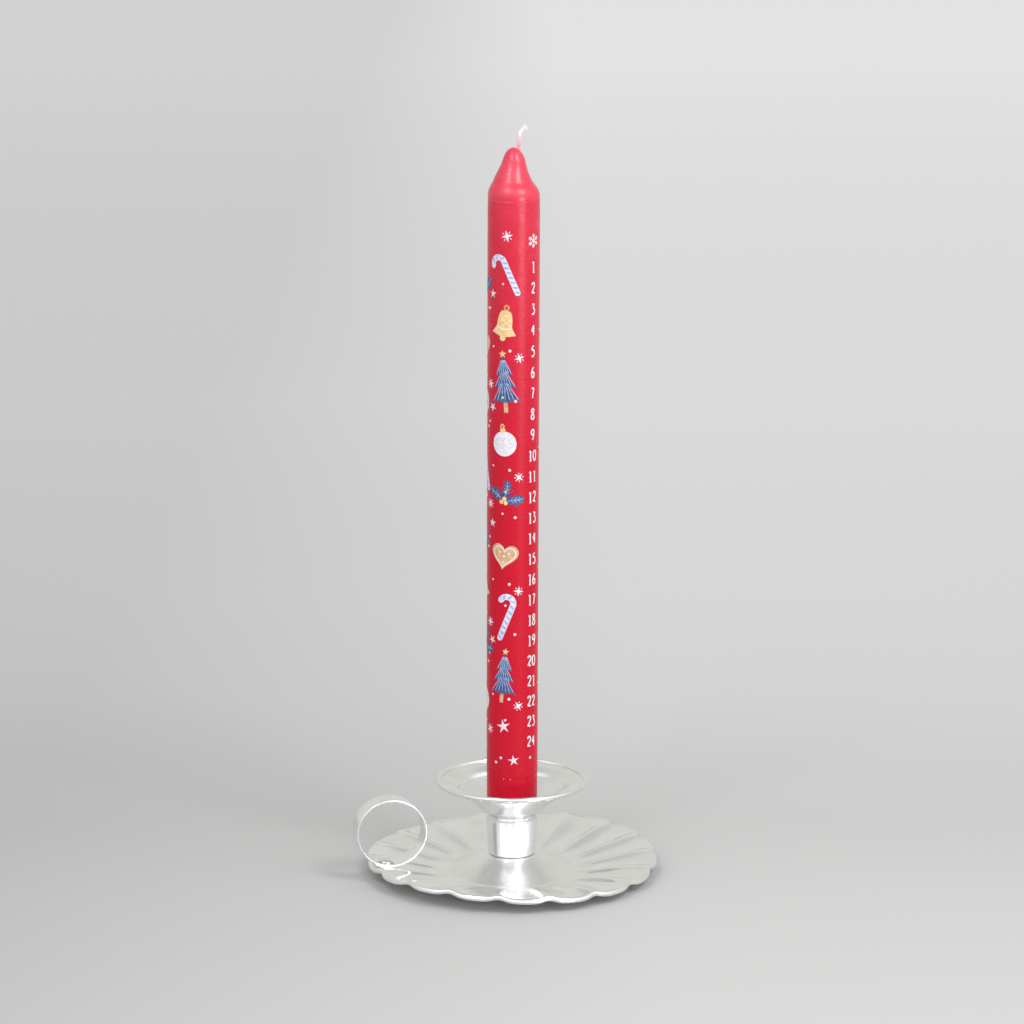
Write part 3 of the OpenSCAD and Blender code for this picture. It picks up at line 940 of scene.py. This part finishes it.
dress(solid("drawn_cup", spun(cup_profile(), 192)), "candle_cup", "holder", cup_metal)

# %% [markdown]
# The drip pan is spun from one disc. Its collar is pushed into the cup, a narrow neck rises from
# it, the bowl flares out to a shallow well, and a sloping flange ends in a tightly rolled edge.

# %% Drip pan
COLLAR_H = 5.5
WELL_R = 26.0
WELL_FOOT_R = 22.7
WELL_WALL_H = 2.9
PAN_BEAD_R = 1.2


def pan_profile():
    """Under face from the collar out to the flange, round the rolled edge, and back inside."""
    well_edge_z = pan_top_z - 2.3
    well_edge = np.array([WELL_R, well_edge_z])
    foot = np.array([WELL_FOOT_R, well_edge_z - WELL_WALL_H])
    bowl = np.array([15.1, mouth_z + 5.35])
    collar_z = mouth_z - COLLAR_H
    collar = [[10.12, collar_z], [mouth_r - 0.03, mouth_z], [NECK_R, mouth_z + 0.63]]
    neck = curve((NECK_R, mouth_z + 1.2), (NECK_R, mouth_z + 2.4), bowl - [2.5, 2.05], bowl)
    flare = curve(bowl, bowl + [2, 1.65], foot - [1.7, 1.7], foot)
    wall = curve(foot, foot + [0.4, 1.3], well_edge - [2.0, 0.9], well_edge)
    flange_end = [[pan_r - 2.1, pan_top_z - 1.7]]
    under = soften(even(np.concatenate([collar, neck, flare[1:], wall[1:], flange_end]), 0.2), 3)
    bead = arc((pan_r - PAN_BEAD_R, pan_top_z - PAN_BEAD_R), PAN_BEAD_R, -150, 175, 32)
    return np.concatenate([under, bead, (under + SHEET_T * left_of(under))[::-1]])


dress(solid("spun_drip_pan", spun(pan_profile(), 224)), "drip_pan", "holder", spun_metal)

# %% [markdown]
# The saucer is the piece that takes the most care. Its wall is a surface of two numbers: rho runs
# from 0 at the foot ring to 1 at the rolled edge, and f from 0 along the middle of a flute to 1
# along its rounded crest. The height mixes two curves of rho by f, and the rim's radius and height
# follow f as well, which gives the scalloped edge. Thin sheet is never quite true: the whole rim
# is bent a little, up on one diagonal and down on the other.

# %% Saucer
FLUTES = 18
FOOT_RING_R = 28.6
NOTCH_DEPTH = 1.2
NOTCH_RISE = 1.0
CREST_SHARE = 0.22
SAUCER_T = 0.8
EDGE_INSET = 0.9
ROLL_LONG = 1.2
ROLL_THIN = 0.68
ROLL_LEAN = math.radians(115)
ROLL_HALF_H = math.hypot(ROLL_LONG * math.sin(ROLL_LEAN), ROLL_THIN * math.cos(ROLL_LEAN))
ROLL_DROP = 0.5
WARP = 1.5
SEAT_R = 10.6
rim_r = saucer_high[0]
rim_z = saucer_high[2] - NOTCH_RISE


def crest_at(u):
    """0 in the middle of a flute, 1 on the crest: the cube of u, closed by a parabola of equal slope."""
    u = np.abs(u)
    reach = 1 - CREST_SHARE
    rise = 2 * reach / (2 + CREST_SHARE)
    hollow = rise * (u / reach) ** 3
    crown = 1 - (1 - rise) * ((1 - u) / CREST_SHARE) ** 2
    return np.where(u <= reach, hollow, crown)


def wall_height(rho, f):
    """Upper face of the wall: the flute's floor and the crest's line, mixed by f."""
    floor = SAUCER_T + (rim_z - ROLL_DROP - SAUCER_T) * (rho / 2 + 1.5 * rho**2 - rho**3)
    crest = SAUCER_T + (rim_z + NOTCH_RISE - ROLL_DROP - SAUCER_T) * (1 - (1 - rho) ** 1.5)
    return floor * (1 - f) + crest * f


def edge_radius(f):
    """Distance from the axis at which the wall meets the rolled edge."""
    return rim_r - NOTCH_DEPTH * f - EDGE_INSET


def warp(a, r):
    """Height by which the saucer is bent: the sine of twice the angle, growing with the square of
    rho, and none at the handle, which sits flat."""
    rho = np.clip((r - FOOT_RING_R) / (edge_radius(0) - FOOT_RING_R), 0, 1)
    clear_of_handle = 1 - np.clip(-np.cos(a), 0, 1) ** 8
    return WARP * np.sin(2 * (a - HOLDER_TURN)) * rho**2 * clear_of_handle


def saucer_middle():
    """Upper outline of the middle: level seat, dome and flat foot ring, from the rivet outwards."""
    flat_r = FOOT_RING_R - 1.8
    dome = curve((SEAT_R, seat_z), (SEAT_R + 1.6, seat_z - 0.1), (flat_r - 1.2, SAUCER_T), (flat_r, SAUCER_T))
    line = np.concatenate([[[SHANK_R, seat_z]], dome, [[FOOT_RING_R - 0.3, SAUCER_T]]])
    return soften(even(line, 0.5), 2)


def saucer_grid(turns=FLUTES * 30, steps=56):
    """All the rows of the saucer, each an array of radius and height over the turn. The rolled edge
    is an oval whose long axis leans inwards, so that its outer face looks a little upwards."""
    a = np.linspace(0, TAU, turns, endpoint=False)
    u = (2 * a * FLUTES / TAU + 1) % 2 - 1
    f = crest_at(u)
    middle = saucer_middle()
    rho = np.linspace(0, 0.97, steps)[:, None]
    wall_r = FOOT_RING_R + (edge_radius(f) - FOOT_RING_R) * rho
    wall_z = wall_height(rho, f)
    w = np.radians(np.linspace(100, -175, 36))[:, None] - ROLL_LEAN
    along, across = ROLL_LONG * np.cos(w), ROLL_THIN * np.sin(w)
    c, s = math.cos(ROLL_LEAN), math.sin(ROLL_LEAN)
    roll_r = edge_radius(f) + 0.1 + along * c - across * s
    roll_z = rim_z + NOTCH_RISE * f - ROLL_HALF_H + along * s + across * c
    flat = np.ones_like(f)
    upper_r = np.concatenate([middle[:, :1] * flat, wall_r[1:]])
    upper_z = np.concatenate([middle[:, 1:] * flat, wall_z[1:]])
    radius = np.concatenate([upper_r, roll_r, upper_r[::-1][1:]])
    height = np.concatenate([upper_z, roll_z, upper_z[::-1][1:] - SAUCER_T])
    grid = np.stack([radius * np.cos(a), radius * np.sin(a), height + warp(a, radius)], -1)
    return grid[::-1]


dress(solid("fluted_saucer", saucer_grid()), "saucer", "holder", sheet_metal)

# %% [markdown]
# The ring handle is one flat strip. It starts inside the ring, goes once round, leaves the circle
# near the bottom and lies flat under the ring, where the rivet holds both layers to the saucer.
# The strip's section, a rectangle with rounded edges, is carried along that path.

# %% Ring handle
BAND_W = 9.6
BAND_T = 0.8
RING_R = 14.7
RING_AT_R = 55.3
LAP_FROM = 7.0
LAP_REACH = 3.8
RING_WIDE = 1.035
RING_HIGH = 0.993
seat_rho = (RING_AT_R - FOOT_RING_R) / (edge_radius(0) - FOOT_RING_R)
seat_slope = math.atan((wall_height(seat_rho + 0.02, 0) - wall_height(seat_rho - 0.02, 0))
                       / (0.04 * (edge_radius(0) - FOOT_RING_R)))
band_edge_f = crest_at(math.asin(BAND_W / 2 / RING_AT_R) / (math.pi / FLUTES))
band_seat_z = wall_height(seat_rho, band_edge_f) + 0.03


def on_handle_seat(points):
    """Puts points drawn with the seat at the origin and the ring upwards in place on the saucer."""
    c, s = math.cos(seat_slope), math.sin(seat_slope)
    x, y, z = points[..., 0], points[..., 1], points[..., 2]
    return np.stack([c * x + s * z - RING_AT_R, y, c * z - s * x + band_seat_z], -1)


def band_path():
    """Middle line of the strip: once round the ring, a hair wider than high, then flat under it."""
    middle_r = RING_R - BAND_T / 2
    squash = np.array([RING_WIDE, RING_HIGH])
    centre = np.array([-(RING_WIDE - 1) * RING_R, BAND_T * 1.5 + RING_HIGH * middle_r])
    leave = math.degrees(math.asin(LAP_FROM / RING_R))
    ring = centre + squash * arc((0, 0), middle_r, -90 - 20, 270 - leave, 200)
    start = ring[-1]
    lap = curve(start, start + 2.6 * ahead_of(ring[-2:])[-1], (-3, BAND_T / 2), (-1, BAND_T / 2), 20)
    return np.concatenate([ring, lap[1:], [[LAP_REACH, BAND_T / 2]]])


def band_section(n=6):
    """Outline of the strip: width across, thickness up, with rounded edges."""
    r = 0.28
    corners = []
    for x, y, start in ((1, -1, -90), (1, 1, 0), (-1, 1, 90), (-1, -1, 180)):
        centre = (x * (BAND_W / 2 - r), y * (BAND_T / 2 - r))
        corners.append(arc(centre, r, start, start + 90, n))
    return np.concatenate(corners)


def band_grid():
    """The section carried along the path. The lap's tip narrows to a rounded end."""
    path = even(band_path(), 0.35)
    left = left_of(path)
    section = band_section()
    count = len(path)
    from_tip = np.arange(count)[::-1] * 0.35
    narrow = np.clip(from_tip / 3.0, 0, 1)
    width = 0.72 + 0.28 * np.sqrt(1 - (1 - narrow) ** 2)
    thin = np.ones(count)
    thin[[0, -1]] = 0.0
    thin[[1, -2]] = 0.9
    y = section[None, :, 0] * (width * np.where(thin == 0, 0.0, 1))[:, None]
    lift = section[None, :, 1] * thin[:, None]
    x = path[:, :1] + lift * left[:, :1]
    z = path[:, 1:] + lift * left[:, 1:]
    return np.stack([x, y, z], -1)


points = on_handle_seat(band_grid())
dress(solid("ring_band", points, closed=False), "ring_handle", "holder", band_metal)

# %% [markdown]
# Two rivets hold the holder together. The handle's rivet has a wide, low dome inside the ring. The
# cup's rivet has a flat head inside the cup, which the candle hides, and both are upset below.

# %% Rivets
HEAD_R = 3.4
HEAD_RISE = 1.9
UPSET_H = 0.9
HANDLE_SHANK_R = 1.3


def handle_rivet_profile():
    """Upset end, shank and domed head, from the bottom upwards along the rivet's own axis."""
    grip = band_seat_z - wall_height(seat_rho, 0) + SAUCER_T
    low = -grip - UPSET_H - 0.03
    under = curve((0, low), (1.5, low), (2.1, low + 0.3), (2.35, low + UPSET_H), 10)
    head_z = 2 * BAND_T
    brim = [[HANDLE_SHANK_R, low + UPSET_H], [HANDLE_SHANK_R, head_z - 0.1], [HEAD_R, head_z + 0.42]]
    dome = curve((HEAD_R, head_z + 0.5), (HEAD_R - 0.5, head_z + 1.2), (1.7, head_z + HEAD_RISE),
                 (0, head_z + HEAD_RISE), 16)
    return np.concatenate([under, brim, dome])


points = on_handle_seat(spun(handle_rivet_profile(), 64))
dress(solid("handle_rivet_dome", points, closed=False), "handle_rivet", "holder", rivet_metal)


def cup_rivet_profile():
    """Upset end under the saucer, shank, and flat head inside the cup."""
    low = seat_z - SAUCER_T
    top = foot_z
    under = curve((0, low - UPSET_H), (1.8, low - UPSET_H), (2.6, low - 0.6), (2.8, low), 10)
    head = curve((3.4, seat_z + SHEET_T), (3.35, top - 0.2), (2.8, top), (0, top), 12)
    return np.concatenate([under, [[SHANK_R, low], [SHANK_R, seat_z + SHEET_T]], head])


points = spun(cup_rivet_profile(), 48)
dress(solid("cup_rivet_head", points, closed=False), "cup_rivet", "holder", rivet_metal)

# %% [markdown]
# The studio is one wide pale floor, with painted light and shade in its colour. A little behind the
# object it is painted slightly darker in a soft band, as painted shade where a paper sweep would
# start to rise, and then paler into the distance, as painted light that makes up for the lamps'
# falloff. It is also painted darker towards the left. The tone is painted by the place on the floor,
# so it looks the same from every side.

# %% Floor
FLOOR_HALF = 6.0
DEPTH_FROM = -0.2
DEPTH_TO = 4.0
FLOOR_TINT = np.array([1.0, 1.0, 0.99])
FLOOR_SIDE_SHADE = (0.83, 1.0, -0.22, 0.06)
# Painted light and shade on the floor: a darker band behind the object and paler tones further off.
FLOOR_PAINTED_LIGHT = ((-0.2, 0.62), (-0.03, 0.6), (0.07, 0.575), (0.16, 0.6), (0.28, 0.655), (0.5, 0.715),
               (1.1, 0.815), (3.9, 0.93))


def make_floor():
    """A flat floor. Its tone follows depth, with painted light and shade, and is painted darker to the left.
    """
    corners = np.array([[-1, -1, 0], [1, -1, 0], [1, 1, 0], [-1, 1, 0]]) * FLOOR_HALF / MM
    floor = new_piece("floor", corners, np.array([[0, 1, 2, 3]]))
    material, tree, shader = new_material("pale_floor", {"Roughness": 0.75, "Specular IOR Level": 0.15})
    across, depth, _ = split(tree, object_point(tree), -HOLDER_TURN)
    # Painted light and shade: the floor's colour follows depth.
    tone = ramp(tree, spread(tree, depth, 0, 1, DEPTH_FROM, DEPTH_TO), [
        ((at - DEPTH_FROM) / (DEPTH_TO - DEPTH_FROM), tone * FLOOR_TINT) for at, tone in FLOOR_PAINTED_LIGHT])
    # Painted shade: the floor is darker towards the left.
    side = spread(tree, across, *FLOOR_SIDE_SHADE)
    tone = add_node(tree, "VectorMath", {0: tone, 1: side}, operation="MULTIPLY").outputs[0]
    put(tree, shader, {"Base Color": tone})
    floor.data.materials.append(material)
    return floor


make_floor()

# %% [markdown]
# The light is a white room that is brighter in front of the object than behind it, and darker
# towards the horizon and overhead. Bright metal shows only what it mirrors, so the room's slow
# change from front to back is what draws the flutes. Two soft lamps give the wax its highlights,
# and a third, low and far away, lights the cup. Each lamp's row holds its angle round from the
# camera and above its aim, its distance, its size, its radiance and the height that it is aimed at.

# %% Room light
ROOM_BACK = (0.7, 0.69, 0.655)
ROOM_FRONT = (1.42, 1.46, 1.53)
ROOM_TOP = (0.58, 0.58, 0.58)
ROOM_TURN = math.radians(8)
LAMPS = {
    "right_lamp": (44, 38, 0.75, (0.28, 0.28), 8.0, 0.29),
    "left_lamp": (-30, 42, 0.75, (0.24, 0.24), 6.0, 0.29),
    "low_lamp": (37, -3, 3.0, (1.2, 0.26), 16.0, 0.3),
}


def make_room():
    """World light whose colour depends on direction: back, front and overhead, and darker at the
    horizon."""
    world = bpy.data.worlds.new("pale_room")
    world.use_nodes = True
    tree = world.node_tree
    direction = add_node(tree, "TexCoord").outputs["Generated"]
    _, y, z = split(tree, direction, -HOLDER_TURN - ROOM_TURN)
    front = maths(tree, "MULTIPLY", spread(tree, y, 1, 0, -0.6, 0.22), spread(tree, z, 0.05, 1, 0.1, 0.36))
    colour = mixed(tree, front, ROOM_BACK, ROOM_FRONT)
    colour = mixed(tree, spread(tree, z, 0, 1, 0.68, 0.9), colour, ROOM_TOP)
    put(tree, tree.nodes["Background"], {"Color": colour})
    bpy.context.scene.world = world


def make_lamp(name, azimuth, above, distance, size, radiance, aim_z):
    """A soft lamp, aimed at a point on the candle's axis. Its power is its radiance times pi times its
    area, so that its brightness doesn't depend on its size. The camera doesn't see the lamp itself,
    or else the low one would show in a view from behind."""
    data = bpy.data.lights.new(name, "AREA")
    data.shape = "RECTANGLE"
    data.size, data.size_y = size
    data.energy = radiance * math.pi * size[0] * size[1]
    lamp = bpy.data.objects.new(name, data)
    a, e = FRONT + math.radians(azimuth), math.radians(above)
    way = Vector((math.cos(a) * math.cos(e), math.sin(a) * math.cos(e), math.sin(e)))
    lamp.location = Vector((0, 0, aim_z)) + distance * way
    lamp.rotation_mode = "QUATERNION"
    lamp.rotation_quaternion = way.to_track_quat("Z", "Y")
    lamp.visible_camera = False
    bpy.context.scene.collection.objects.link(lamp)
    return lamp


make_room()
for name, values in LAMPS.items():
    make_lamp(name, *values)
bpy.context.scene.view_settings.view_transform = "Standard"
